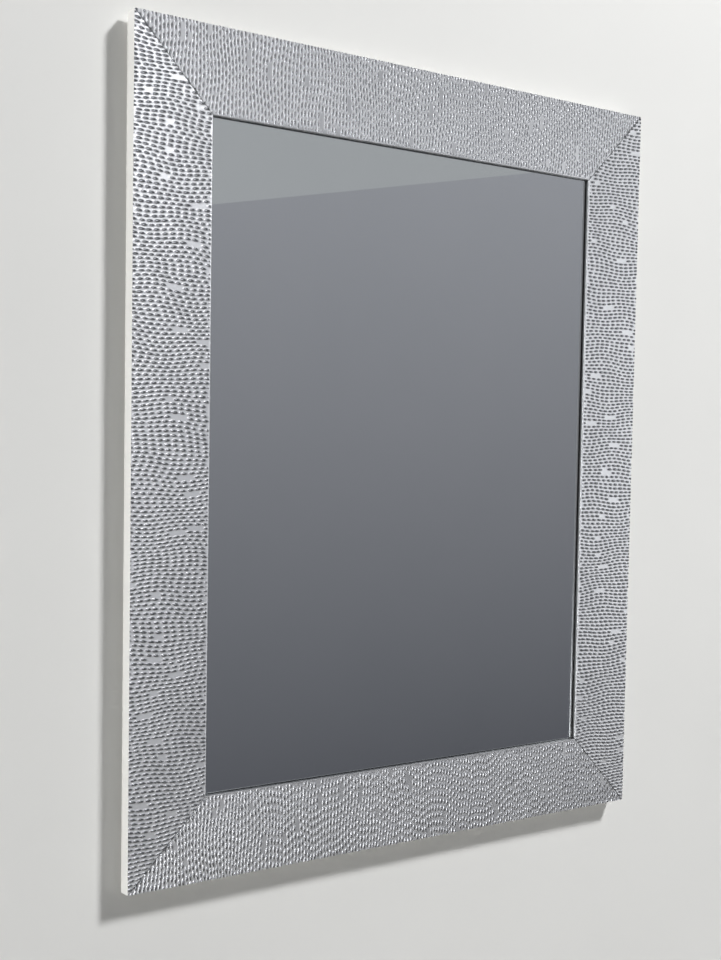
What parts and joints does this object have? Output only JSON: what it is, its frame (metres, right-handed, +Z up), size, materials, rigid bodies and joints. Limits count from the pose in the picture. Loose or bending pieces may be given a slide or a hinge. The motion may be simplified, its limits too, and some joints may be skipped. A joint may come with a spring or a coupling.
{
  "type": "wall mirror",
  "caption": "Rectangular wall mirror in a wide flat mitred frame faced with embossed silver foil, with white sides and swinging ring hangers on the back.",
  "frame": {"origin": "on the wall, half way between the two points where the hanger rings hang on their hooks", "axes": "+Z up, +X to the right seen from the front, +Y into the wall, so the mirror faces -Y"},
  "size_m": [0.686, 0.021, 0.838],
  "materials": {
    "moulding": "white satin paint on fibreboard",
    "silver_foil": "embossed silver foil, satin",
    "float_glass": "clear, polished",
    "silvering": "mirror",
    "hardboard": "smooth brown hardboard",
    "tab_steel": "plain steel strip",
    "nail_steel": "plain steel strip",
    "strap_steel": "zinc plated",
    "ring_wire": "zinc plated wire",
    "screw_steel": "zinc plated",
    "bumper_rubber": "matt black"
  },
  "bodies": {
    "frame": {"top_rail": "moulding", "bottom_rail": "moulding", "left_stile": "moulding", "right_stile": "moulding", "top_foil": "silver_foil", "bottom_foil": "silver_foil", "left_foil": "silver_foil", "right_foil": "silver_foil", "mirror_glass": "float_glass", "silver_coat": "silvering", "backing_board": "hardboard", "retaining_tabs": "tab_steel", "corner_nails": "nail_steel", "left_hanger_strap": "strap_steel", "left_hanger_screws": "screw_steel", "left_bumper": "bumper_rubber", "right_hanger_strap": "strap_steel", "right_hanger_screws": "screw_steel", "right_bumper": "bumper_rubber"},
    "left_ring": {"left_hanger_ring": "ring_wire"},
    "right_ring": {"right_hanger_ring": "ring_wire"}
  },
  "joints": [
    {"name": "left_ring_swing", "type": "hinge", "parent": "frame", "child": "left_ring", "pos_m": [-0.157, -0.0037, -0.016], "axis": [-1, 0, 0], "range_deg": [-3, 175]},
    {"name": "right_ring_swing", "type": "hinge", "parent": "frame", "child": "right_ring", "pos_m": [0.157, -0.0037, -0.016], "axis": [-1, 0, 0], "range_deg": [-3, 175]}
  ]
}
